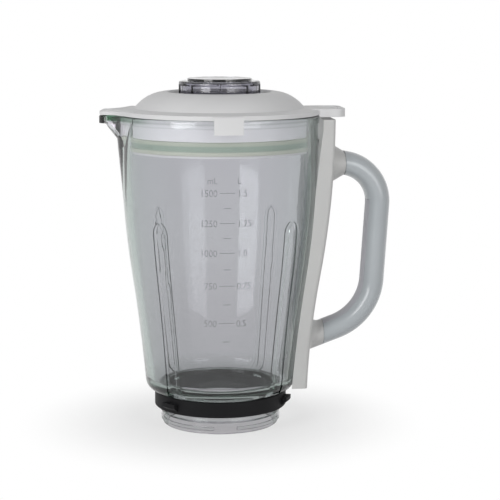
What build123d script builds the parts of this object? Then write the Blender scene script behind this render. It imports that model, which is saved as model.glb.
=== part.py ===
# Blender jar: a pressed-glass jug with a push-in lid, a filler cap, a plastic
# handle and a black locking collar round its neck.
# The origin lies on the jug's axis at the foot of the neck. +Z is up, the handle
# is on +X, the spout on -X, and the volume scale faces -Y.

import os
from math import cos, radians, sin, sqrt

from build123d import *

os.makedirs("parts", exist_ok=True)

# Driving dimensions, in millimetres and degrees

# Clearances: between pieces that lift apart, between pieces that stay together, round a screw
LIFT_GAP = 0.4
FIT_GAP = 0.2
SCREW_GAP = 0.05

# Glass jug: heights from the foot of the neck, steps out from the neck to the wall at three heights
JUG_H = 221.5
UPRIGHT_H = 21.5
TOP_OUT = 6.9
MID_Z = 107.0
MID_OUT = 9.4
SHOULDER_Z = 24.5
SHOULDER_OUT = 11.7
SHOULDER_ROUND = 8.0
WALL = 5.4
WALL_TOP = 6.3
FLOOR_T = 4.5
FLOOR_ROUND = 7.0

# Directions round the jug's axis
FRONT = -90.0
BACK = 90.0

# Neck: the bead that carries the collar, the thread ridges below it, the keys above it
NECK_R = 41.5
NECK_WALL = 3.0
FOOT_ROUND = 1.0
BEAD_OUT = 2.0
BEAD_H = 5.0
THREAD_OUT = 1.3
THREAD_Z = 3.1
THREAD_H = 2.2
THREAD_ARC = 158.0
KEY_W = 12.0
KEY_OUT = 3.1
KEY_H = 3.0

# Rim band, pouring spout and the keel that fades into the wall below it
RIM_OUT = 0.8
RIM_BAND = 5.5
RIM_ROUND = 1.2
SPOUT_OUT = 14.4
SPOUT_TIP_R = 6.5
SPOUT_ROOT = 27.0
SPOUT_TURN = 24.0
SPOUT_WALL = 6.0
CHANNEL_ROOT = 22.0
LIP_OUT = 4.0
BEAK_ROOT = 25.0
BEAK_H = 11.0
KEEL_OUT = 2.8
KEEL_TIP_R = 20.0
KEEL_ROOT = 16.0
KEEL_TURN = 60.0
FADE_H = 54.0
FADE_TIP_R = 40.0
FADE_ROOT = 12.0
FADE_TURN = 75.0

# Pressed flutes outside, with the mixing ribs behind them inside
FLUTE_TURN = 44.0
FLUTE_W = 9.0
FLUTE_D = 0.7
FLUTE_TOP = 151.0
FLUTE_BOTTOM = 27.5
FLUTE_ARCH = 8.0
RIB_D = 0.7

# Glass rail that the handle's bracket is bonded over
RAIL_W = 14.0
RAIL_D = 4.6
RAIL_BOTTOM = 46.0
RAIL_DROP = 18.5

# Locking collar
COLLAR_Z = 13.2
COLLAR_WALL = 5.8
COLLAR_EDGE = 0.5
LUG_OUT = 3.9
LUG_H = 5.6
LUG_SIDE = 2.8
LUG_DROP = 3.5
LUG_ARC = 14.0
LUG_COUNT = 3
LUG_START = -21.0

# Handle bracket: its thickness over the wall at three heights, its cut-back top, its stubs
BRACKET_W = 42.0
BRACKET_LIFT = 2.0
BRACKET_DROP = 3.2
BRACKET_T_LOW = 7.4
BRACKET_T_MID = 7.0
BRACKET_T_TOP = 10.3
BRACKET_ROUND = 2.6
STANDOFF = 0.6
STANDOFF_H = 74.0
STANDOFF_IN = 4.0
STUB_TOP = 8.6
STUB_LOW = 3.8
STUB_IN = 22.0
STUB_FLARE = 5.0
TRUMPET_W = 34.0
TRUMPET_H = 30.0
TRUMPET_DROP = 1.5

# Handle grip: its section, its seams with the stubs and the bow between them
GRIP_T = 17.2
GRIP_W = 26.0
SEAM_DROP = 32.1
SEAM_LOW_Z = 63.6
TOP_FALL = 10.0
LOW_RISE = 20.0
GRIP_TOP_L = 26.9
GRIP_LOW_L = 36.9
BEND_TOP_R = 28.0
BEND_LOW_R = 40.0
COVER_W = 15.0
COVER_T = 2.6
COVER_TOP_Z = 160.0

# Screws from the bracket into the grip, and how far behind each seam a head lies
SCREW_R = 2.0
SCREW_L = 24.0
SCREW_HEAD_R = 3.8
SCREW_HEAD_H = 2.4
SCREW_TOP_BACK = 13.5
SCREW_LOW_BACK = 8.7

# Lid: flange, dome, filler hole and plug
LID_OVER = 0.6
LID_EDGE = 2.9
LID_SLOPE = 1.5
LID_T = 2.6
FLANGE_W = 11.1
CREST_R = 37.5
CREST_H = 15.6
SEAT_R = 32.5
SEAT_DROP = 3.1
FILLER_R = 27.0
FILLER_L = 21.4
PLUG_GAP = 2.0
PLUG_WALL = 4.4
PLUG_L = 25.9
PLUG_LIP_OUT = 0.8
PLUG_LIP_H = 1.4

# Seal in the plug's groove
GROOVE_D = 2.8
SEAL_H = 9.4
SEAL_LIP = 2.6
SEAL_DIP = 0.9

# Pad of the lid over the spout
PAD_T = 3.8
PAD_EDGE = 2.5
PAD_LIP = 2.4
PAD_BACK = 0.6

# Tabs of the lid: the dished one over the handle and the one at the front
TAB_OUT = 16.4
TAB_W = 38.0
TAB_UP = 3.9
TAB_DOWN = 1.8
TAB_ROUND = 7.0
DISH_D = 0.7
DISH_EDGE = 3.4
DISH_IN = 17.0
FRONT_TAB_W = 19.6
FRONT_TAB_T = 2.6
FRONT_TAB_L = 9.5

# Measuring cap: skirt with panels, raised disc and the cup below
CAP_OVER = 1.7
CAP_H = 10.2
CAP_ROUND = 1.5
CAP_DISC_IN = 6.1
CAP_DISC_H = 1.8
CAP_DISH = 0.8
CAP_WALL = 2.0
CUP_GAP = 1.4
CUP_L = 27.8
PANEL_COUNT = 8
PANEL_W = 15.0
PANEL_D = 0.9
PANEL_EDGE = 1.8

# Sizes that follow from them
shoulder_r = NECK_R + SHOULDER_OUT
mid_r = shoulder_r + MID_OUT
top_r = mid_r + TOP_OUT
top_z = JUG_H - UPRIGHT_H
floor_z = SHOULDER_Z + FLOOR_T
mouth_r = top_r - WALL_TOP
bore_r = NECK_R - NECK_WALL
rim_r = top_r + RIM_OUT
spout_reach = rim_r + SPOUT_OUT
band_z = JUG_H - RIM_BAND
keel_z = band_z - BEAK_H
fade_z = keel_z - FADE_H
key_r = NECK_R + KEY_OUT
rail_top = JUG_H - RAIL_DROP
collar_r = NECK_R + COLLAR_WALL
collar_top = SHOULDER_Z - FIT_GAP
bracket_low = SHOULDER_Z + BRACKET_LIFT
bracket_top = JUG_H - BRACKET_DROP
wing_z = bracket_top - STANDOFF_H
bracket_r = top_r + BRACKET_T_TOP
bracket_mid_r = mid_r + BRACKET_T_MID
bracket_low_r = shoulder_r + BRACKET_T_LOW
seam_top = (bracket_r + STUB_TOP, bracket_top - SEAM_DROP)
seam_low = (bracket_mid_r + STUB_LOW, SEAM_LOW_Z)
lid_z = JUG_H + LIFT_GAP
lid_r = rim_r + LID_OVER
edge_z = lid_z + LID_EDGE
crease_z = edge_z + LID_SLOPE
dome_r = lid_r - FLANGE_W
crest_z = lid_z + CREST_H
seat_z = crest_z - SEAT_DROP
plug_r = mouth_r - PLUG_GAP
plug_in_r = plug_r - PLUG_WALL
plug_z = lid_z - PLUG_L
groove_z = plug_z + PLUG_LIP_H
groove_r = plug_r - GROOVE_D
tab_end = lid_r + TAB_OUT
cap_z = seat_z + LIFT_GAP
cap_r = FILLER_R + CAP_OVER
cap_top = cap_z + CAP_H
cup_r = FILLER_R - CUP_GAP


def on_wall(height):
    """Radius of the jug's wall at a height between its middle and its upright."""
    bow = (TOP_OUT**2 + (top_z - MID_Z) ** 2) / (2 * TOP_OUT)
    return top_r - bow + sqrt(bow**2 - (top_z - height) ** 2)


def wall_bows(upper, middle, lower):
    """Two tangent bows down a wall that starts upright, and the end of the second."""
    first = TangentArc(upper, middle, tangent=(0, -1))
    second = TangentArc(middle, lower, tangent=first % 1)
    return second @ 1


def jug_form(upper_r, middle_r, lower_r, lower_z, corner):
    """Half section of a form with the jug's side, a flat bottom and a round corner there."""
    with BuildSketch() as form:
        with BuildLine():
            end = wall_bows((upper_r, top_z), (middle_r, MID_Z), (lower_r, lower_z))
            Polyline(end, (0, lower_z), (0, JUG_H), (upper_r, JUG_H), (upper_r, top_z))
        make_face()
        fillet(form.vertices().sort_by_distance((lower_r, lower_z))[0], corner)
    return form.sketch


def outside(gap, corner):
    """Half section of the jug's outside grown by a gap, without its neck."""
    return jug_form(top_r + gap, mid_r + gap, shoulder_r + gap, SHOULDER_Z - gap, corner)


def inside(gap):
    """Half section of the jug's cavity shrunk by a gap, without its bore."""
    wall = WALL + gap
    return jug_form(mouth_r - gap, mid_r - wall, shoulder_r - wall, floor_z + gap, FLOOR_ROUND)


def pour_flanks(radius, root, reach, tip_r, turn):
    """Both flanks and the round tip of a pouring lip, and the end they start from."""
    a = radians(root)
    b = radians(turn)
    start = Vector(-radius * cos(a), radius * sin(a))
    side = Vector(tip_r - reach - tip_r * sin(b), tip_r * cos(b))
    flank = Spline(start, side, tangents=[(-sin(a), -cos(a)), (-cos(b), -sin(b))])
    mirror(flank, about=Plane.XZ)
    ThreePointArc(side, (-reach, 0), (side.X, -side.Y))
    return start


def pour_plan(radius, root, reach, tip_r, turn):
    """Face of a round rim with its pouring lip, seen from above."""
    with BuildSketch() as plan:
        with BuildLine():
            start = pour_flanks(radius, root, reach, tip_r, turn)
            ThreePointArc(start, (radius, 0), (start.X, -start.Y))
        make_face()
    return plan.sketch


def lip_plan(radius, root, reach, tip_r, turn):
    """Face of the pouring lip alone, closed by a chord across the jug."""
    with BuildSketch() as plan:
        with BuildLine():
            start = pour_flanks(radius, root, reach, tip_r, turn)
            Line(start, (start.X, -start.Y))
        make_face()
    return plan.sketch


def pad_plan(inset):
    """Face of the lid's pad over the spout, from under the dome out to an inset from its edge."""
    with BuildSketch() as plan:
        with BuildLine():
            reach = spout_reach - LIFT_GAP - inset
            start = pour_flanks(lid_r - FIT_GAP - inset, SPOUT_ROOT, reach, SPOUT_TIP_R - inset, SPOUT_TURN)
            back_y = start.Y * PAD_BACK
            Polyline(start, (-CREST_R, back_y), (-CREST_R, -back_y), (start.X, -start.Y))
        make_face()
    return plan.sketch


def lancet(width, bottom, top, arch):
    """Pointed arch in a plane whose x runs along the wall and y runs up."""
    half = width / 2
    bow = (arch**2 + half**2) / (2 * half)
    mid_x = half - bow + sqrt(bow**2 - (arch / 2) ** 2)
    with BuildSketch() as arch_face:
        with BuildLine():
            Polyline((-half, top - arch), (-half, bottom), (half, bottom), (half, top - arch))
            ThreePointArc((half, top - arch), (mid_x, top - arch / 2), (0, top))
            ThreePointArc((0, top), (-mid_x, top - arch / 2), (-half, top - arch))
        make_face()
    return arch_face.sketch


def facing_out(angle, out):
    """Plane that faces outwards at an angle round the jug, its y axis up."""
    a = radians(angle)
    return Plane((out * cos(a), out * sin(a), 0), x_dir=(-sin(a), cos(a), 0), z_dir=(cos(a), sin(a), 0))


def section_plane(angle):
    """Upright plane through the axis at an angle round the jug, its x axis outwards."""
    a = radians(angle)
    return Plane((0, 0, 0), x_dir=(cos(a), sin(a), 0), z_dir=(sin(a), -cos(a), 0))


def key_plan(gap):
    """Faces of the two keys under the shoulder, seen from above."""
    with BuildSketch() as plan:
        Circle(key_r + gap)
        Rectangle(KEY_W + 2 * gap, 2 * key_r + 2 * gap, mode=Mode.INTERSECT)
        Circle(NECK_R - NECK_WALL / 2, mode=Mode.SUBTRACT)
    return plan.sketch


def rail_side(gap):
    """Side view of the rail, with a gap round it for the bracket's channel."""
    with BuildSketch() as side_face:
        add(outside(RAIL_D + gap, SHOULDER_ROUND))
        with Locations((top_r, (RAIL_BOTTOM + rail_top) / 2)):
            Rectangle(top_r, rail_top - RAIL_BOTTOM + 2 * gap, mode=Mode.INTERSECT)
    return side_face.sketch


def ahead(point, heading, length):
    """Point at a length along a heading, in the handle's plane."""
    a = radians(heading)
    return (point[0] + length * cos(a), point[1] + length * sin(a))


def stub_side(gap):
    """Side view of all that lies on the jug's side of the two seams."""
    split_z = (seam_top[1] + seam_low[1]) / 2
    low_x = seam_low[0] + gap
    top_x = seam_top[0] + gap
    with BuildSketch() as side_face:
        with BuildLine():
            Polyline(
                (0, 0),
                (low_x, 0),
                (low_x, split_z),
                (top_x, split_z),
                (top_x, JUG_H),
                (0, JUG_H),
                close=True,
            )
        make_face()
    return side_face.sketch


def screw_plane(seam, heading, back):
    """Plane on the end of a screw's head, facing along the screw."""
    a = radians(heading)
    x, z = ahead(seam, heading, -back)
    return Plane((x, 0, z), x_dir=(0, 1, 0), z_dir=(cos(a), 0, sin(a)))


# Lancet prisms for the flutes and ribs, run outwards through the wall
with BuildPart() as lancet_blocks:
    for angle in (FRONT - FLUTE_TURN, FRONT + FLUTE_TURN, BACK - FLUTE_TURN, BACK + FLUTE_TURN):
        with BuildSketch(facing_out(angle, NECK_R)):
            add(lancet(FLUTE_W, FLUTE_BOTTOM, FLUTE_TOP, FLUTE_ARCH))
        extrude(amount=top_r)

with BuildPart() as flute_cutters:
    add(lancet_blocks.part)
    with BuildSketch(Plane.XZ):
        add(outside(-FLUTE_D, SHOULDER_ROUND - FLUTE_D))
    revolve(axis=Axis.Z, mode=Mode.SUBTRACT)

with BuildPart() as mixing_ribs:
    add(lancet_blocks.part)
    with BuildSketch(Plane.XZ):
        add(outside(-WALL / 2, SHOULDER_ROUND - WALL / 2))
    revolve(axis=Axis.Z, mode=Mode.INTERSECT)
    with BuildSketch(Plane.XZ):
        add(inside(RIB_D))
    revolve(axis=Axis.Z, mode=Mode.SUBTRACT)

# Glass jug
fade_wall = on_wall(fade_z)
channel = (mouth_r, CHANNEL_ROOT, spout_reach - SPOUT_WALL, SPOUT_TIP_R - SPOUT_WALL / 2, SPOUT_TURN)
channel_z = band_z + FOOT_ROUND
bead_top = COLLAR_Z - FIT_GAP
thread_gap = (BACK - FRONT - THREAD_ARC) / 2
with BuildPart() as glass_jar:
    with BuildSketch(Plane.XZ):
        add(outside(0, SHOULDER_ROUND))
    revolve(axis=Axis.Z)
    with BuildSketch():
        Circle(NECK_R)
    extrude(amount=floor_z)
    # Rim band with the spout's lip
    with BuildSketch(Plane.XY.offset(band_z)):
        add(pour_plan(rim_r, SPOUT_ROOT, spout_reach, SPOUT_TIP_R, SPOUT_TURN))
    extrude(amount=RIM_BAND)
    # Beak under the lip
    with BuildSketch(Plane.XY.offset(band_z)):
        add(lip_plan(top_r - FIT_GAP, BEAK_ROOT, spout_reach - LIP_OUT, SPOUT_TIP_R, SPOUT_TURN))
    with BuildSketch(Plane.XY.offset(keel_z)):
        add(lip_plan(top_r - FIT_GAP, KEEL_ROOT, top_r + KEEL_OUT, KEEL_TIP_R, KEEL_TURN))
    loft(ruled=True)
    # Keel that fades into the wall
    with BuildSketch(Plane.XY.offset(keel_z)):
        add(lip_plan(top_r - FIT_GAP, KEEL_ROOT, top_r + KEEL_OUT, KEEL_TIP_R, KEEL_TURN))
    with BuildSketch(Plane.XY.offset(fade_z)):
        add(lip_plan(fade_wall - LIFT_GAP, FADE_ROOT, fade_wall - FIT_GAP, FADE_TIP_R, FADE_TURN))
    loft(ruled=True)
    # Rail at the handle
    with BuildSketch(Plane.XZ):
        add(rail_side(0))
    extrude(amount=RAIL_W / 2, both=True)
    # Bead under the collar
    with BuildSketch(Plane.XZ):
        with BuildLine():
            Polyline(
                (bore_r, bead_top),
                (NECK_R + BEAD_OUT, bead_top),
                (NECK_R + BEAD_OUT, bead_top - BEAD_H + BEAD_OUT),
                (NECK_R, bead_top - BEAD_H),
                (bore_r, bead_top - BEAD_H),
                close=True,
            )
        make_face()
    revolve(axis=Axis.Z)
    # Thread ridges, with their gaps at the front and the back
    for start in (FRONT + thread_gap, BACK + thread_gap):
        with BuildSketch(section_plane(start)):
            with Locations((NECK_R, THREAD_Z)):
                Rectangle(NECK_WALL, THREAD_H, align=(Align.MAX, Align.MIN))
                Rectangle(THREAD_OUT, THREAD_H, align=(Align.MIN, Align.MIN))
        revolve(axis=Axis.Z, revolution_arc=THREAD_ARC)
    # Keys under the shoulder
    with BuildSketch(Plane.XY.offset(SHOULDER_Z - KEY_H)):
        add(key_plan(0))
    extrude(amount=KEY_H + FLOOR_T / 2)
    # Cavity, with the bore below it
    with BuildSketch(Plane.XZ):
        add(inside(0))
    revolve(axis=Axis.Z, mode=Mode.SUBTRACT)
    with BuildSketch():
        Circle(bore_r)
    extrude(amount=floor_z, mode=Mode.SUBTRACT)
    # Pouring channel through the rim band and down the beak
    with BuildSketch(Plane.XY.offset(channel_z)):
        add(pour_plan(*channel))
    extrude(amount=RIM_BAND, mode=Mode.SUBTRACT)
    with BuildSketch(Plane.XY.offset(channel_z)):
        add(lip_plan(*channel))
    with BuildSketch(Plane.XY.offset(keel_z - SPOUT_WALL)):
        add(lip_plan(mouth_r - LIFT_GAP, FADE_ROOT, mouth_r - FIT_GAP, FADE_TIP_R, FADE_TURN))
    loft(ruled=True, mode=Mode.SUBTRACT)
    # Rounded rim and foot
    fillet(glass_jar.edges().filter_by_position(Axis.Z, JUG_H - FIT_GAP, JUG_H + FIT_GAP), RIM_ROUND)
    foot_edges = glass_jar.edges().filter_by_position(Axis.Z, -FIT_GAP, FIT_GAP)
    fillet(foot_edges.sort_by(SortBy.LENGTH)[-1], FOOT_ROUND)
    add(flute_cutters.part, mode=Mode.SUBTRACT)
    add(mixing_ribs.part)
glass_jar.part.label = "glass_jar"
export_step(glass_jar.part, "parts/glass_jar.step")

# Locking collar, snapped up over the bead
lug_r = collar_r + LUG_OUT
lug_top = collar_top - LUG_DROP
with BuildPart() as base_ring:
    with BuildSketch(Plane.XZ):
        with BuildLine():
            Polyline(
                (NECK_R + FIT_GAP, COLLAR_Z),
                (collar_r - COLLAR_EDGE, COLLAR_Z),
                (collar_r, COLLAR_Z + COLLAR_EDGE),
                (collar_r, collar_top - COLLAR_EDGE),
                (collar_r - COLLAR_EDGE, collar_top),
                (NECK_R + FIT_GAP, collar_top),
                close=True,
            )
        make_face()
    revolve(axis=Axis.Z)
    # Lugs, flat on top and sloped below
    for count in range(LUG_COUNT):
        with BuildSketch(section_plane(LUG_START - LUG_ARC / 2 + count * 360 / LUG_COUNT)):
            with BuildLine():
                Polyline(
                    (collar_r - COLLAR_EDGE, lug_top),
                    (lug_r, lug_top),
                    (lug_r, lug_top - LUG_SIDE),
                    (collar_r, lug_top - LUG_H),
                    (collar_r - COLLAR_EDGE, lug_top - LUG_H),
                    close=True,
                )
            make_face()
        revolve(axis=Axis.Z, revolution_arc=LUG_ARC)
    # Keyways for the keys under the shoulder
    with BuildSketch(Plane.XY.offset(SHOULDER_Z - KEY_H - FIT_GAP)):
        add(key_plan(FIT_GAP))
    extrude(amount=KEY_H + FIT_GAP, mode=Mode.SUBTRACT)
base_ring.part.label = "base_ring"
export_step(base_ring.part, "parts/base_ring.step")

# Bow of the handle, from inside the upper stub round to inside the lower stub
with BuildLine(Plane.XZ) as bow:
    FilletPolyline(
        ahead(seam_top, -TOP_FALL, -STUB_IN),
        ahead(seam_top, -TOP_FALL, GRIP_TOP_L),
        ahead(seam_low, LOW_RISE, GRIP_LOW_L),
        ahead(seam_low, LOW_RISE, -STUB_IN),
        radius=(BEND_TOP_R, BEND_LOW_R),
    )
bow_start = Plane(bow.line @ 0, x_dir=(0, 1, 0), z_dir=bow.line % 0)
with BuildPart() as bow_form:
    with BuildSketch(bow_start):
        Ellipse(GRIP_W / 2, GRIP_T / 2)
    sweep(path=bow.line)

with BuildPart() as stubs:
    with BuildSketch(Plane.XZ):
        add(stub_side(0))
    extrude(amount=BRACKET_W / 2, both=True)
    add(bow_form.part, mode=Mode.INTERSECT)

# Trumpet that widens the upper stub towards the bracket's face
trumpet_x = bracket_r - BRACKET_ROUND
trumpet_z = ahead(seam_top, -TOP_FALL, -STUB_TOP)[1] - TRUMPET_DROP
with BuildPart() as trumpet:
    with BuildSketch(Plane((trumpet_x, 0, trumpet_z), x_dir=(0, 1, 0), z_dir=(1, 0, 0))):
        Ellipse(TRUMPET_W / 2, TRUMPET_H / 2)
    with BuildSketch(Plane((seam_top[0], 0, seam_top[1]), x_dir=(0, 1, 0), z_dir=(1, 0, 0))):
        Ellipse(GRIP_W / 2 - FIT_GAP, GRIP_T / 2 - FIT_GAP)
    loft(ruled=True)

# Screws through the stubs, and the holes that take them
screw_planes = (
    screw_plane(seam_top, -TOP_FALL, SCREW_TOP_BACK),
    screw_plane(seam_low, LOW_RISE, SCREW_LOW_BACK),
)
with BuildPart() as grip_screws:
    for plane in screw_planes:
        with BuildSketch(plane):
            Circle(SCREW_HEAD_R)
        extrude(amount=SCREW_HEAD_H)
        with BuildSketch(plane):
            Circle(SCREW_R)
        extrude(amount=SCREW_HEAD_H + SCREW_L)
grip_screws.part.label = "grip_screws"
export_step(grip_screws.part, "parts/grip_screws.step")

with BuildPart() as screw_holes:
    for plane in screw_planes:
        with BuildSketch(plane.offset(-SCREW_HEAD_R)):
            Circle(SCREW_HEAD_R + SCREW_GAP)
        extrude(amount=SCREW_HEAD_R + SCREW_HEAD_H + SCREW_GAP)
        with BuildSketch(plane):
            Circle(SCREW_R + SCREW_GAP)
        extrude(amount=SCREW_HEAD_H + SCREW_L + SCREW_GAP)

# Handle bracket: a saddle on the wall with a channel over the rail
with BuildPart() as handle_bracket:
    with BuildSketch(Plane.XZ):
        with BuildLine():
            end = wall_bows((bracket_r, bracket_top), (bracket_mid_r, MID_Z), (bracket_low_r, bracket_low))
            Polyline(end, (NECK_R, bracket_low), (NECK_R, bracket_top), (bracket_r, bracket_top))
        make_face()
    extrude(amount=BRACKET_W / 2, both=True)
    back_edges = handle_bracket.edges().filter_by(lambda edge: edge.center().X > bracket_low_r)
    fillet(back_edges.filter_by(lambda edge: abs(edge.tangent_at(0).Z) > 0.5), BRACKET_ROUND)
    add(stubs.part)
    roots = handle_bracket.edges(Select.LAST).filter_by(GeomType.BSPLINE)
    fillet(roots.sort_by(Axis.X)[0], STUB_FLARE)
    add(trumpet.part)
    # Saddle on the wall, channel over the rail, wings cut back under the rim
    with BuildSketch(Plane.XZ):
        add(outside(FIT_GAP, FIT_GAP))
    revolve(axis=Axis.Z, mode=Mode.SUBTRACT)
    with BuildSketch(Plane.XZ):
        add(rail_side(FIT_GAP))
    extrude(amount=RAIL_W / 2 + FIT_GAP, both=True, mode=Mode.SUBTRACT)
    with BuildSketch(Plane.XZ):
        with BuildLine():
            Polyline(
                (0, bracket_top),
                (rim_r + STANDOFF, bracket_top),
                (rim_r + STANDOFF, band_z - STANDOFF_IN),
                (on_wall(wing_z) - STANDOFF_IN, wing_z),
                (0, wing_z),
                close=True,
            )
        make_face()
    extrude(amount=BRACKET_W / 2, both=True, mode=Mode.SUBTRACT)
    add(screw_holes.part, mode=Mode.SUBTRACT)
handle_bracket.part.label = "handle_bracket"
export_step(handle_bracket.part, "parts/handle_bracket.step")

# Handle grip, with a pocket for the cover along its inner side
cover_y = (COVER_T - GRIP_T) / 2
with BuildPart() as cover_pocket:
    with BuildSketch(bow_start):
        with Locations((0, cover_y)):
            Rectangle(COVER_W + 2 * FIT_GAP, COVER_T + 2 * FIT_GAP)
    sweep(path=bow.line)
    with BuildSketch(Plane.XY.offset(COVER_TOP_Z + FIT_GAP)):
        Rectangle(4 * top_r, BRACKET_W)
    extrude(amount=JUG_H, mode=Mode.SUBTRACT)
with BuildPart() as handle_grip:
    add(bow_form.part)
    with BuildSketch(Plane.XZ):
        add(stub_side(FIT_GAP))
    extrude(amount=BRACKET_W / 2, both=True, mode=Mode.SUBTRACT)
    add(cover_pocket.part, mode=Mode.SUBTRACT)
    add(screw_holes.part, mode=Mode.SUBTRACT)
handle_grip.part.label = "handle_grip"
export_step(handle_grip.part, "parts/handle_grip.step")

# Cover let into the grip, flush with its surface
with BuildPart() as grip_cover:
    with BuildSketch(bow_start):
        Ellipse(GRIP_W / 2, GRIP_T / 2)
        with Locations((0, cover_y)):
            Rectangle(COVER_W, COVER_T, mode=Mode.INTERSECT)
    sweep(path=bow.line)
    with BuildSketch(Plane.XY.offset(COVER_TOP_Z)):
        Rectangle(4 * top_r, BRACKET_W)
    extrude(amount=JUG_H, mode=Mode.SUBTRACT)
    with BuildSketch(Plane.XZ):
        add(stub_side(FIT_GAP))
    extrude(amount=BRACKET_W / 2, both=True, mode=Mode.SUBTRACT)
grip_cover.part.label = "grip_cover"
export_step(grip_cover.part, "parts/grip_cover.step")

# Lid: flange with a spout cover, dome with a seat for the cap, plug with the seal's groove
dome_bow = ((dome_r - CREST_R) ** 2 + (crest_z - crease_z) ** 2) / (2 * (crest_z - crease_z))
dome_out = LID_T * (dome_r - CREST_R) / dome_bow
dome_down = LID_T * (crease_z - crest_z + dome_bow) / dome_bow
with BuildPart() as lid:
    with BuildSketch(Plane.XZ):
        with BuildLine():
            fall = Spline((SEAT_R, seat_z), (CREST_R, crest_z), tangents=[(1, 0), (1, 0)])
            dome = TangentArc(fall @ 1, (dome_r, crease_z), tangent=(1, 0))
            Polyline(
                dome @ 1,
                (lid_r, edge_z),
                (lid_r, lid_z),
                (plug_r, lid_z),
                (plug_r, groove_z + SEAL_H),
                (groove_r, groove_z + SEAL_H),
                (groove_r, groove_z),
                (plug_r + PLUG_LIP_OUT, groove_z),
                (plug_r + PLUG_LIP_OUT, plug_z),
                (plug_in_r, plug_z),
                (plug_in_r, seat_z - FILLER_L),
                (FILLER_R, seat_z - FILLER_L),
                (FILLER_R, seat_z),
                (SEAT_R, seat_z),
            )
        make_face()
    revolve(axis=Axis.Z)
    # Pad over the spout, with a sloped edge
    with BuildSketch(Plane.XY.offset(lid_z)):
        add(pad_plan(0))
    extrude(amount=PAD_LIP)
    with BuildSketch(Plane.XY.offset(lid_z + PAD_LIP)):
        add(pad_plan(0))
    with BuildSketch(Plane.XY.offset(lid_z + PAD_T)):
        add(pad_plan(PAD_EDGE))
    loft(ruled=True)
    # Rear tab, dished on top
    with BuildSketch(Plane.XY.offset(lid_z - TAB_DOWN)) as tab_plan:
        with Locations((CREST_R, 0)):
            Rectangle(tab_end - CREST_R, TAB_W, align=(Align.MIN, Align.CENTER))
        fillet(tab_plan.vertices().group_by(Axis.X)[-1], TAB_ROUND)
        Circle(lid_r + LIFT_GAP, mode=Mode.SUBTRACT)
    extrude(amount=TAB_DOWN)
    with BuildSketch(Plane.XY.offset(lid_z)) as tab_plan:
        with Locations((CREST_R, 0)):
            Rectangle(tab_end - CREST_R, TAB_W, align=(Align.MIN, Align.CENTER))
        fillet(tab_plan.vertices().group_by(Axis.X)[-1], TAB_ROUND)
    extrude(amount=TAB_UP)
    with BuildSketch(Plane.XY.offset(lid_z + TAB_UP - DISH_D)) as dish_plan:
        with Locations((tab_end - DISH_EDGE, 0)):
            Rectangle(DISH_IN - DISH_EDGE, TAB_W - 2 * DISH_EDGE, align=(Align.MAX, Align.CENTER))
        fillet(dish_plan.vertices(), TAB_ROUND - DISH_EDGE)
    extrude(amount=DISH_D, mode=Mode.SUBTRACT)
    # Front tab outside the rim
    front_r = rim_r + 2 * LIFT_GAP
    with BuildSketch(Plane.XY.offset(lid_z - FRONT_TAB_L)):
        Circle(front_r + FRONT_TAB_T)
        Circle(front_r, mode=Mode.SUBTRACT)
        with Locations((0, -front_r)):
            Rectangle(FRONT_TAB_W, front_r, mode=Mode.INTERSECT)
    extrude(amount=FRONT_TAB_L + LID_EDGE - LIFT_GAP)
    with BuildSketch(Plane.XY.offset(lid_z)):
        Circle(front_r + FRONT_TAB_T)
        Circle(plug_r, mode=Mode.SUBTRACT)
        with Locations((0, -front_r)):
            Rectangle(FRONT_TAB_W, front_r, mode=Mode.INTERSECT)
    extrude(amount=LID_EDGE - LIFT_GAP)
    # Hollow under the dome
    with BuildSketch(Plane.XZ):
        with BuildLine():
            ramp = Line((SEAT_R, seat_z - LID_T), (CREST_R, crest_z - LID_T))
            under = TangentArc(ramp @ 1, (dome_r - dome_out, crease_z - dome_down), tangent=(1, 0))
            Polyline(
                under @ 1,
                (dome_r - dome_out, plug_z),
                (FILLER_R + LID_T, plug_z),
                (FILLER_R + LID_T, seat_z - LID_T),
                (SEAT_R, seat_z - LID_T),
            )
        make_face()
        with Locations((0, plug_z)):
            Rectangle(2 * plug_in_r, JUG_H, align=(Align.CENTER, Align.MIN), mode=Mode.INTERSECT)
    revolve(axis=Axis.Z, mode=Mode.SUBTRACT)
lid.part.label = "lid"
export_step(lid.part, "parts/lid.step")

# Seal with a lip at each edge
seal_in = groove_r + FIT_GAP
seal_r = mouth_r - LIFT_GAP
seal_z = groove_z + FIT_GAP
seal_top = groove_z + SEAL_H - FIT_GAP
with BuildPart() as lid_seal:
    with BuildSketch(Plane.XZ):
        with BuildLine():
            Polyline(
                (seal_in, seal_z),
                (seal_r, seal_z),
                (seal_r, seal_z + SEAL_LIP),
                (seal_r - SEAL_DIP, seal_z + SEAL_LIP),
                (seal_r - SEAL_DIP, seal_top - SEAL_LIP),
                (seal_r, seal_top - SEAL_LIP),
                (seal_r, seal_top),
                (seal_in, seal_top),
                close=True,
            )
        make_face()
    revolve(axis=Axis.Z)
lid_seal.part.label = "lid_seal"
export_step(lid_seal.part, "parts/lid_seal.step")

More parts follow.
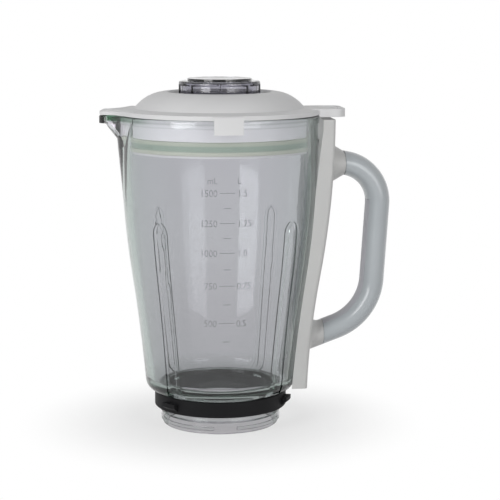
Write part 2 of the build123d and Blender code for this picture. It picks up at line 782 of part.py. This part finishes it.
# Measuring cap: skirt on the lid's seat, cup through the filler hole
disc_r = cap_r - CAP_DISC_IN
disc_z = cap_top + CAP_DISC_H
with BuildPart() as measuring_cap:
    with BuildSketch(Plane.XZ) as cap_half:
        with BuildLine():
            Polyline(
                (disc_r, disc_z),
                (disc_r, cap_top),
                (cap_r, cap_top),
                (cap_r, cap_z),
                (cup_r, cap_z),
                (cup_r, cap_z - CUP_L),
                (cup_r - CAP_WALL, cap_z - CUP_L),
                (cup_r - CAP_WALL, disc_z - CAP_DISH - CAP_WALL),
                (0, disc_z - CAP_DISH - CAP_WALL),
                (0, disc_z - CAP_DISH),
            )
            TangentArc((0, disc_z - CAP_DISH), (disc_r, disc_z), tangent=(1, 0))
        make_face()
        fillet(cap_half.vertices().sort_by_distance((cap_r, cap_top))[0], CAP_ROUND)
    revolve(axis=Axis.Z)
    with BuildSketch(Plane.XY.offset(cap_z + PANEL_EDGE)):
        with PolarLocations(cap_r, PANEL_COUNT):
            Rectangle(CAP_OVER, PANEL_W)
        Circle(cap_r - PANEL_D, mode=Mode.SUBTRACT)
    extrude(amount=CAP_H - CAP_ROUND - 2 * PANEL_EDGE, mode=Mode.SUBTRACT)
measuring_cap.part.label = "measuring_cap"
export_step(measuring_cap.part, "parts/measuring_cap.step")
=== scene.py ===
from math import atan2, cos, pi, radians, sin

import bmesh
import bpy
from mathutils import Matrix, Vector


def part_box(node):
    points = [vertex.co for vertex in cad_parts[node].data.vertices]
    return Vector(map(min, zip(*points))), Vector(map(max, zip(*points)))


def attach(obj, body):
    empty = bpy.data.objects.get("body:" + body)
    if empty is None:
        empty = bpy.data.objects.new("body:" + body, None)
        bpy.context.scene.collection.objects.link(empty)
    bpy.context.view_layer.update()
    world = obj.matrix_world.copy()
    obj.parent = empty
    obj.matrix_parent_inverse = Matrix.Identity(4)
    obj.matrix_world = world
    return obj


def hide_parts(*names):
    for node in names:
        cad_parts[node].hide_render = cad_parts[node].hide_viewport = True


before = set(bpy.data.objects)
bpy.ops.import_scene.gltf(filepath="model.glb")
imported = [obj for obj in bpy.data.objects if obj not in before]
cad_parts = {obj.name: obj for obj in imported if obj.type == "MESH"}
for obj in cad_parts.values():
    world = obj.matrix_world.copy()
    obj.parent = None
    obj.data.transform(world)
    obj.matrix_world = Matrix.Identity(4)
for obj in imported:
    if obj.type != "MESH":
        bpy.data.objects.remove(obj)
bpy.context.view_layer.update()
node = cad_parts
scene = bpy.context.scene

# Glass jug: one pressing of clear soda glass, so its faces ripple a little. Its colour
# is painted darker towards the foot, as shade for the floor seen through it, and lighter
# near the top; two fine lines of painted shade run round the rim's bead; and the spout's
# lip is painted green, for the green glass shows where light runs a long way through it.
glass_bend = 1.5
glass_roughness = 0.012
glass_green = (0.485, 0.62, 0.545, 1)
glass_depth = 98.0
glass_red = 0.900
glass_blue = 0.904
# Each row is a height, how light the painted shade leaves the wall there and the green of its tint.
wall_painted_shade = (
    (0.000, 0.64, 0.845),
    (0.024, 0.68, 0.845),
    (0.040, 0.875, 0.842),
    (0.085, 0.89, 0.842),
    (0.130, 0.975, 0.838),
    (0.170, 1.0, 0.831),
    (0.195, 1.0, 0.829),
    (0.205, 1.1, 0.828),
)
rim_depth = 0.0075
# Each row is a depth below the top of the jug and how light the painted shade leaves the bead
# there.
rim_painted_shade_lines = (
    (0.0018, 1.0),
    (0.0027, 0.82),
    (0.0036, 1.0),
    (0.0049, 1.0),
    (0.0055, 0.86),
    (0.0061, 1.0),
)
lip_painted_green = (0.13, 0.29, 0.18, 1)
lip_start, lip_end = -0.050, -0.072
lip_depth, lip_fade = 0.0030, 0.0015
mix_under, mix_over, mix_result = 6, 7, 2


def new_finish(name):
    """A new material and its Principled shader."""
    finish = bpy.data.materials.new(name)
    finish.use_nodes = True
    return finish, finish.node_tree.nodes["Principled BSDF"]


def add_node(owner, kind, **values):
    """A node in a material or the world, with values for its input sockets by name."""
    new = owner.node_tree.nodes.new(kind)
    for name, value in values.items():
        new.inputs[name].default_value = value
    return new


def own_place(finish):
    """The sockets X, Y and Z of a point in the piece's own space."""
    place = add_node(finish, "ShaderNodeTexCoord")
    apart = add_node(finish, "ShaderNodeSeparateXYZ")
    finish.node_tree.links.new(place.outputs["Object"], apart.inputs["Vector"])
    return apart.outputs


def between(finish, value, start, end):
    """A factor that goes from 0 to 1 as the value of a socket goes from start to end."""
    span = add_node(finish, "ShaderNodeMapRange")
    span.inputs["From Min"].default_value = start
    span.inputs["From Max"].default_value = end
    finish.node_tree.links.new(value, span.inputs["Value"])
    return span.outputs["Result"]


def ramp(finish, factor, stops):
    """The colour that a factor picks from stops in order, each a position and a colour."""
    row = add_node(finish, "ShaderNodeValToRGB")
    marks = row.color_ramp.elements
    marks.remove(marks[1])
    marks[0].position, marks[0].color = stops[0]
    for position, colour in stops[1:]:
        marks.new(position).color = colour
    finish.node_tree.links.new(factor, row.inputs["Fac"])
    return row.outputs["Color"]


def colour_mix(finish, kind, under):
    """A full mix of two colours, the lower one linked from a socket."""
    mix = add_node(finish, "ShaderNodeMix")
    mix.data_type = "RGBA"
    mix.blend_type = kind
    mix.inputs["Factor"].default_value = 1.0
    finish.node_tree.links.new(under, mix.inputs[mix_under])
    return mix


def combine(owner, operation, one, other):
    """The number that an operation makes of two sockets."""
    result = add_node(owner, "ShaderNodeMath")
    result.operation = operation
    owner.node_tree.links.new(one, result.inputs[0])
    owner.node_tree.links.new(other, result.inputs[1])
    return result.outputs["Value"]


def make_clear(shader, bend, roughness):
    """Lets light through a shader, bent as in glass or clear plastic."""
    shader.inputs["Transmission Weight"].default_value = 1.0
    shader.inputs["IOR"].default_value = bend
    shader.inputs["Roughness"].default_value = roughness


def absorb(finish, colour, density):
    """Tints light by its way through the body of a clear piece."""
    body = add_node(finish, "ShaderNodeVolumeAbsorption", Color=colour, Density=density)
    whole = finish.node_tree.nodes["Material Output"]
    finish.node_tree.links.new(body.outputs["Volume"], whole.inputs["Volume"])


def noise(finish, scale, detail):
    """A noise in the piece's own space, its scale in cycles per metre."""
    place = add_node(finish, "ShaderNodeTexCoord")
    cloud = add_node(finish, "ShaderNodeTexNoise", Scale=scale, Detail=detail)
    finish.node_tree.links.new(place.outputs["Object"], cloud.inputs["Vector"])
    return cloud.outputs["Fac"]


def relief(finish, shader, scale, detail, depth, strength):
    """Bump from a noise."""
    bump = add_node(finish, "ShaderNodeBump", Strength=strength, Distance=depth)
    finish.node_tree.links.new(noise(finish, scale, detail), bump.inputs["Height"])
    finish.node_tree.links.new(bump.outputs["Normal"], shader.inputs["Normal"])


def dress(name, finish):
    """Gives a piece of the frame its finish."""
    for slot in node[name].material_slots:
        slot.material = finish


pressed_glass, shader = new_finish("pressed_glass")
link = pressed_glass.node_tree.links.new
at = own_place(pressed_glass)
jug_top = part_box("glass_jar")[1][2]
wall_top = wall_painted_shade[-1][0]
# Painted shade: the wall's colour darker towards the foot and lighter near the top.
wall_tint_and_painted_shade = ramp(
    pressed_glass,
    between(pressed_glass, at["Z"], 0.0, wall_top),
    [
        (up / wall_top, (clear * glass_red, clear * green, clear * glass_blue, 1))
        for up, clear, green in wall_painted_shade
    ],
)
# Painted shade: two fine dark lines round the rim's bead.
rim_painted_shade = ramp(
    pressed_glass,
    between(pressed_glass, at["Z"], jug_top, jug_top - rim_depth),
    [(down / rim_depth, (clear, clear, clear, 1)) for down, clear in rim_painted_shade_lines],
)
rim_tint_and_painted_shade = colour_mix(pressed_glass, "MULTIPLY", wall_tint_and_painted_shade)
link(rim_painted_shade, rim_tint_and_painted_shade.inputs[mix_over])
lip_low = jug_top - lip_depth
on_lip = combine(
    pressed_glass,
    "MULTIPLY",
    between(pressed_glass, at["X"], lip_start, lip_end),
    between(pressed_glass, at["Z"], lip_low - lip_fade, lip_low),
)
# Painted colour: the spout's lip green, for light's long way through the glass.
lip_painted_tint = colour_mix(pressed_glass, "MIX", rim_tint_and_painted_shade.outputs[mix_result])
lip_painted_tint.inputs[mix_over].default_value = lip_painted_green
link(on_lip, lip_painted_tint.inputs["Factor"])
link(lip_painted_tint.outputs[mix_result], shader.inputs["Base Color"])
make_clear(shader, glass_bend, glass_roughness)
absorb(pressed_glass, glass_green, glass_depth)
relief(pressed_glass, shader, scale=26.0, detail=1.5, depth=0.0008, strength=0.12)
dress("glass_jar", pressed_glass)
node["glass_jar"].visible_shadow = False

# Volume scale: ticks and numerals cut into the jug's mould, so they stand a fraction of
# a millimetre proud of its front. They are the same glass, duller, and painted a little
# darker as shade for their raised edges.
# Each row of scale_marks is a volume in litres and its height.
scale_marks = ((0.5, 0.0830), (0.75, 0.1095), (1.0, 0.1325), (1.25, 0.1530), (1.5, 0.1735))
scale_turn = -pi / 2
scale_middle = -0.0008
scale_painted_shade_colour = (0.66, 0.665, 0.67, 1)
scale_roughness = 0.03
tick_long, tick_short, tick_line = 0.0102, 0.0047, 0.00055
tick_cuts = 6
column_gap = 0.0015
digit_height = 0.0049
unit_height = 0.0046
unit_rise = 0.0085
letter_width = 0.88
letter_curve = 3
font_size_per_height = 1.38
proud = 0.00035
outside_jug = 0.2
scale_shape = bmesh.new()


def on_jug(angle, up):
    """The point of the jug's outside at one angle and height, and the way out from its axis."""
    out = Vector((cos(angle), sin(angle), 0))
    start = out * outside_jug + Vector((0, 0, up))
    spot = node["glass_jar"].ray_cast(start, -out)[1]
    return spot, out


def wrap_on_jug(shape):
    """Bends a flat shape (x along the wall, y up, z out) onto the jug's front."""
    for vertex in shape.verts:
        across, up, lift = vertex.co
        front, out = on_jug(scale_turn, up)
        spot, out = on_jug(scale_turn + across / front.xy.length, up)
        vertex.co = spot + out * lift


def press_text(words, across, up, height, align):
    """Adds raised lettering to the scale, placed flat before it is bent."""
    lettering = bpy.data.curves.new("lettering", "FONT")
    lettering.body = words
    lettering.size = height * font_size_per_height
    lettering.align_x = align
    lettering.extrude = proud / 2
    lettering.resolution_u = letter_curve
    holder = bpy.data.objects.new("lettering", lettering)
    flat = bpy.data.meshes.new_from_object(holder)
    narrow = Matrix.Diagonal((letter_width, 1, 1, 1))
    flat.transform(Matrix.Translation((across, up - height / 2, proud / 2)) @ narrow)
    scale_shape.from_mesh(flat)
    bpy.data.objects.remove(holder)
    bpy.data.curves.remove(lettering)
    bpy.data.meshes.remove(flat)


def press_tick(up, length):
    """Adds one raised bar to the scale, divided along its length so that it can bend."""
    place = Matrix.Translation((scale_middle, up, proud / 2))
    bar = bmesh.ops.create_cube(
        scale_shape, size=1, matrix=place @ Matrix.Diagonal((length, tick_line, proud, 1))
    )
    long_edges = {
        edge for vertex in bar["verts"] for edge in vertex.link_edges
        if abs(edge.verts[0].co.x - edge.verts[1].co.x) > length / 2
    }
    bmesh.ops.subdivide_edges(scale_shape, edges=list(long_edges), cuts=tick_cuts)


def new_piece(name, shape, finish):
    """An object of this script's own, made from a bmesh that is then freed."""
    mesh = bpy.data.meshes.new(name)
    shape.to_mesh(mesh)
    shape.free()
    mesh.materials.append(finish)
    piece = bpy.data.objects.new(name, mesh)
    scene.collection.objects.link(piece)
    return piece


right_edge = scale_middle + tick_long / 2 + column_gap
left_edge = scale_middle - tick_long / 2 - column_gap
for litres, up in scale_marks:
    press_tick(up, tick_long)
    press_text(str(litres), right_edge, up, digit_height, "LEFT")
    press_text(str(round(1000 * litres)), left_edge, up, digit_height, "RIGHT")
mark_heights = [up for litres, up in scale_marks]
first_half = mark_heights[0] - (mark_heights[1] - mark_heights[0]) / 2
for up in [first_half] + [(low + high) / 2 for low, high in zip(mark_heights, mark_heights[1:])]:
    press_tick(up, tick_short)
unit_up = mark_heights[-1] + unit_rise
press_text("L", right_edge, unit_up, unit_height, "LEFT")
press_text("mL", left_edge, unit_up, unit_height, "RIGHT")
wrap_on_jug(scale_shape)
scale_glass, shader = new_finish("scale_glass")
# Painted shade: the scale's glass is darker so its marks show as shade along their edges.
shader.inputs["Base Color"].default_value = scale_painted_shade_colour
make_clear(shader, glass_bend, scale_roughness)
relief(scale_glass, shader, scale=900.0, detail=2.0, depth=0.0001, strength=0.3)
volume_scale = new_piece("volume_scale", scale_shape, scale_glass)
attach(volume_scale, "jar")

# Locking collar: a black moulded ring, snapped up over the bead on the neck, with
# three lugs that turn under the catches of the motor base.
cloud_scale, cloud_detail = 22.0, 4.0
cloud_deep, cloud_pale = 0.3, 0.7
roughness_spread = 0.05
grain_detail, grain_strength = 2.0, 0.35


def moulded(name, pale, deep, roughness, grain, depth, shine=0.5, metal=0.0):
    """A finish with a faint cloud in its colour and its roughness, and a fine grain."""
    finish, shader = new_finish(name)
    link = finish.node_tree.links.new
    cloud = noise(finish, cloud_scale, cloud_detail)
    shade = ramp(finish, cloud, [(cloud_deep, (*deep, 1)), (cloud_pale, (*pale, 1))])
    link(shade, shader.inputs["Base Color"])
    dulled = between(finish, cloud, 0.0, 1.0)
    dulled.node.inputs["To Min"].default_value = roughness - roughness_spread
    dulled.node.inputs["To Max"].default_value = roughness + roughness_spread
    link(dulled, shader.inputs["Roughness"])
    relief(finish, shader, grain, grain_detail, depth, grain_strength)
    shader.inputs["Specular IOR Level"].default_value = shine
    shader.inputs["Metallic"].default_value = metal
    return finish


collar_black = moulded(
    "collar_black", pale=(0.011, 0.011, 0.012), deep=(0.008, 0.008, 0.009),
    roughness=0.55, grain=1500.0, depth=0.00005, shine=0.1,
)
dress("base_ring", collar_black)

# Handle bracket: a saddle of pale grey plastic, moulded with a flared stub for each end
# of the grip and bonded to the jug over a rail in the glass.
bracket_grey = moulded(
    "bracket_grey", pale=(0.56, 0.56, 0.55), deep=(0.52, 0.52, 0.515),
    roughness=0.42, grain=1400.0, depth=0.00006, shine=0.3,
)
dress("handle_bracket", bracket_grey)

# Grip screws: two plated steel screws, driven from the bracket's channel into the grip
# before the bracket is bonded on, so they are out of sight.
screw_steel = moulded(
    "screw_steel", pale=(0.62, 0.62, 0.63), deep=(0.5, 0.5, 0.52),
    roughness=0.3, grain=2600.0, depth=0.00004, metal=1.0,
)
dress("grip_screws", screw_steel)

# Handle grip: a bow of cooler grey plastic with a soft pearl sheen. Its two ends seat on
# the bracket's stubs, where the screws hold them.
grip_grey = moulded(
    "grip_grey", pale=(0.43, 0.46, 0.48), deep=(0.405, 0.435, 0.455),
    roughness=0.16, grain=1200.0, depth=0.00005,
)
dress("handle_grip", grip_grey)

# Grip cover: a strip of lilac grey plastic, moulded by itself and pressed into the inner
# side of the grip.
cover_lilac = moulded(
    "cover_lilac", pale=(0.42, 0.42, 0.455), deep=(0.39, 0.39, 0.42),
    roughness=0.45, grain=1200.0, depth=0.00006,
)
dress("grip_cover", cover_lilac)

# Lid: one moulding of white plastic with a dome, a flange, a pad over the spout, a tab
# over the handle and a plug that is pushed into the jug's mouth.
lid_white = moulded(
    "lid_white", pale=(0.70, 0.70, 0.705), deep=(0.66, 0.66, 0.665),
    roughness=0.5, grain=1300.0, depth=0.00005, shine=0.2,
)
dress("lid", lid_white)
node["lid"].visible_shadow = False

# Lid seal: a soft ring of pale green rubber, moulded with a lip at its foot and its top
# and a dip between them, and stretched into the groove of the lid's plug. Its colour is
# set in bands by height, paler on the lips and darker and greener in the dip; the dip's
# darkness is painted shade.
low_lip = (0.51, 0.53, 0.445, 1)
high_lip = (0.42, 0.455, 0.37, 1)
dip_painted_shade = (0.30, 0.38, 0.31, 1)
lip_share, lip_blend = 0.22, 0.12
seal_green = moulded(
    "seal_green", pale=(1.0, 1.0, 1.0), deep=(0.92, 0.93, 0.92),
    roughness=0.55, grain=1000.0, depth=0.00006,
)
seal_low, seal_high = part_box("lid_seal")
# Painted shade: the dip between the seal's lips is darker.
bands = ramp(
    seal_green,
    between(seal_green, own_place(seal_green)["Z"], seal_low[2], seal_high[2]),
    [
        (lip_share, low_lip),
        (lip_share + lip_blend, dip_painted_shade),
        (1 - lip_share - lip_blend, dip_painted_shade),
        (1 - lip_share, high_lip),
    ],
)
shader = seal_green.node_tree.nodes["Principled BSDF"]
clouds = shader.inputs["Base Color"].links[0].from_socket
seal_tint_and_painted_shade = colour_mix(seal_green, "MULTIPLY", clouds)
link = seal_green.node_tree.links.new
link(bands, seal_tint_and_painted_shade.inputs[mix_over])
link(seal_tint_and_painted_shade.outputs[mix_result], shader.inputs["Base Color"])
dress("lid_seal", seal_green)
node["lid_seal"].visible_shadow = False

# Measuring cap: one moulding of smoky clear plastic, set down in the lid's hole, with a
# dished top, a cup below and eight sunk panels round its skirt, a thin rib between each
# two. The borders of the panels slope, so they catch the light.
cap_low, cap_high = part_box("measuring_cap")
cap_r = (cap_high[0] - cap_low[0]) / 2
cap_height, cap_round = 0.0102, 0.0015
disc_in, disc_rise, disc_dish = 0.0061, 0.0018, 0.0008
cap_wall, cup_in = 0.0020, 0.0031
panel_count, panel_steps = 8, 15
panel_border, panel_depth, panel_edge = 0.0010, 0.0010, 0.0007
rib_turn = radians(-96.0)
dish_parts, round_parts = 6, 5
merge_gap = 1e-6
crease = radians(25)
cap_colour = (0.93, 0.93, 0.95, 1)
cap_bend = 1.49
cap_roughness = 0.01
smoke_colour = (0.30, 0.29, 0.37, 1)
smoke_depth = 170.0
disc_r = cap_r - disc_in
cup_r = cap_r - cup_in
bore_r = cup_r - cap_wall
cap_top = cap_high[2] - disc_rise
cap_seat = cap_top - cap_height
cap_roof = cap_high[2] - disc_dish - cap_wall
round_middle = cap_top - cap_round
panel_top = round_middle - panel_edge
panel_low = cap_seat + panel_edge
dish = [
    (disc_r * part / dish_parts, cap_high[2] - disc_dish * (1 - (part / dish_parts) ** 2))
    for part in range(dish_parts + 1)
]
turns = [pi / 2 * (1 - part / round_parts) for part in range(round_parts + 1)]
rounded = [
    (cap_r - cap_round + cap_round * cos(turn), round_middle + cap_round * sin(turn))
    for turn in turns
]
skirt = [(cap_r, panel_top), (cap_r, panel_low), (cap_r, cap_seat)]
cup = [
    (cup_r, cap_seat), (cup_r, cap_low[2]), (bore_r, cap_low[2]), (bore_r, cap_roof), (0, cap_roof),
]
cap_shape = bmesh.new()
line = [
    cap_shape.verts.new((reach * cos(rib_turn), reach * sin(rib_turn), up))
    for reach, up in dish + [(disc_r, cap_top)] + rounded + skirt + cup
]
sides = [cap_shape.edges.new(pair) for pair in zip(line, line[1:])]
bmesh.ops.spin(
    cap_shape, geom=line + sides, cent=(0, 0, 0), axis=(0, 0, 1), angle=2 * pi,
    steps=panel_count * panel_steps, use_merge=True,
)
bmesh.ops.remove_doubles(cap_shape, verts=cap_shape.verts, dist=merge_gap)
bmesh.ops.recalc_face_normals(cap_shape, faces=cap_shape.faces)
step_turn = 2 * pi / (panel_count * panel_steps)
panels = [[] for number in range(panel_count)]
for face in cap_shape.faces:
    middle = face.calc_center_median()
    if panel_low < middle.z < panel_top and middle.xy.length > cap_r - panel_depth:
        past_rib = (atan2(middle.y, middle.x) - rib_turn) % (2 * pi)
        step = int(past_rib / step_turn)
        if step % panel_steps:
            panels[step // panel_steps].append(face)
for panel in panels:
    bmesh.ops.inset_region(
        cap_shape, faces=panel, thickness=panel_border, depth=-panel_depth,
        use_even_offset=True, use_boundary=True,
    )
for face in cap_shape.faces:
    face.smooth = True
smoky_clear, shader = new_finish("smoky_clear")
shader.inputs["Base Color"].default_value = cap_colour
make_clear(shader, cap_bend, cap_roughness)
absorb(smoky_clear, smoke_colour, smoke_depth)
relief(smoky_clear, shader, scale=60.0, detail=2.0, depth=0.0003, strength=0.1)
filler_cap = new_piece("filler_cap", cap_shape, smoky_clear)
filler_cap.data.set_sharp_from_angle(angle=crease)
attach(filler_cap, "cap")
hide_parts("measuring_cap")

# Studio: a pale floor that reads white and keeps the jug's soft shadow, a white
# surround, and two tall soft lamps in front, the left one the stronger. Beside each is a
# glint, a lamp seen only in reflections, which strengthens the jug's tall bright stripes.
paper_white = (1, 1, 1, 1)
fill_strength = 0.34
floor_half = 60.0
floor_drop = 0.0003
floor_colour = (0.86, 0.86, 0.86, 1)
floor_roughness = 0.8
shadow_near, shadow_far = 0.055, 0.15
shadow_share = 0.4
lamp_tall = 0.86
lamp_aim = Vector((0, 0, 0.13))


def background_seen(owner):
    """A factor of 1 for the rays that show the background: camera, glossy and through glass."""
    rays = add_node(owner, "ShaderNodeLightPath").outputs
    either = combine(owner, "MAXIMUM", rays["Is Camera Ray"], rays["Is Glossy Ray"])
    return combine(owner, "MAXIMUM", either, rays["Is Transmission Ray"])


def choose(owner, factor, first, second, output):
    """Shows the first shader where a factor is 0 and the second where it is 1."""
    link = owner.node_tree.links.new
    choice = add_node(owner, "ShaderNodeMixShader")
    link(factor, choice.inputs["Fac"])
    link(first, choice.inputs[1])
    link(second, choice.inputs[2])
    link(choice.outputs["Shader"], owner.node_tree.nodes[output].inputs["Surface"])


surround = bpy.data.worlds.new("surround")
scene.world = surround
surround.use_nodes = True
fill = surround.node_tree.nodes["Background"]
fill.inputs["Color"].default_value = paper_white
fill.inputs["Strength"].default_value = fill_strength
white = add_node(surround, "ShaderNodeBackground", Color=paper_white, Strength=1.0)
seen = background_seen(surround)
choose(surround, seen, fill.outputs["Background"], white.outputs["Background"], "World Output")

floor_shape = bmesh.new()
bmesh.ops.create_grid(floor_shape, x_segments=1, y_segments=1, size=floor_half)
bmesh.ops.translate(floor_shape, verts=floor_shape.verts, vec=(0, 0, -floor_drop))
floor_white, shader = new_finish("floor_white")
shader.inputs["Base Color"].default_value = floor_colour
shader.inputs["Roughness"].default_value = floor_roughness
place = add_node(floor_white, "ShaderNodeTexCoord")
reach = add_node(floor_white, "ShaderNodeVectorMath")
reach.operation = "LENGTH"
floor_white.node_tree.links.new(place.outputs["Object"], reach.inputs[0])
whiten = between(floor_white, reach.outputs["Value"], shadow_near, shadow_far)
whiten.node.interpolation_type = "SMOOTHSTEP"
whiten.node.inputs["To Min"].default_value = 1 - shadow_share
glow = add_node(floor_white, "ShaderNodeEmission", Color=paper_white, Strength=1.0)
seen = combine(floor_white, "MULTIPLY", background_seen(floor_white), whiten)
choose(floor_white, seen, shader.outputs["BSDF"], glow.outputs["Emission"], "Material Output")
floor = new_piece("floor", floor_shape, floor_white)


def soft_lamp(name, place, wide, watts):
    """A rectangular soft lamp aimed at the middle of the jug."""
    panel = bpy.data.lights.new(name, "AREA")
    panel.shape = "RECTANGLE"
    panel.size = wide
    panel.size_y = lamp_tall
    panel.energy = watts
    lamp = bpy.data.objects.new(name, panel)
    scene.collection.objects.link(lamp)
    lamp.location = place
    lamp.rotation_euler = (Vector(place) - lamp_aim).to_track_quat("Z", "Y").to_euler()
    return lamp


soft_lamp("lamp_left", place=(-0.80, -0.76, 0.525), wide=0.62, watts=6.2)
soft_lamp("lamp_right", place=(0.52, -0.97, 0.525), wide=0.55, watts=3.2)
glint_left = soft_lamp("glint_left", place=(-0.816, -0.775, 0.53), wide=0.62, watts=2.8)
glint_left.visible_diffuse = False
glint_right = soft_lamp("glint_right", place=(0.677, -0.898, 0.53), wide=0.85, watts=3.6)
glint_right.visible_diffuse = False

# Camera: at the photograph's height and distance, with a long lens, turned a little to
# the left of the jug's front and looking a little down at it.
turn = radians(6.0)
tilt = 0.1559
away, height, aside = 1.1384, 0.3034, 0.0214
film_width = 36.0
lens_length = 116.2
view = bpy.data.cameras.new("view")
view.sensor_width = film_width
view.lens = lens_length
camera = bpy.data.objects.new("camera", view)
scene.collection.objects.link(camera)
camera.location = (
    aside * cos(turn) - away * sin(turn),
    -aside * sin(turn) - away * cos(turn),
    height,
)
camera.rotation_euler = (pi / 2 - tilt, 0, -turn)
scene.camera = camera
scene.view_settings.view_transform = "Standard"
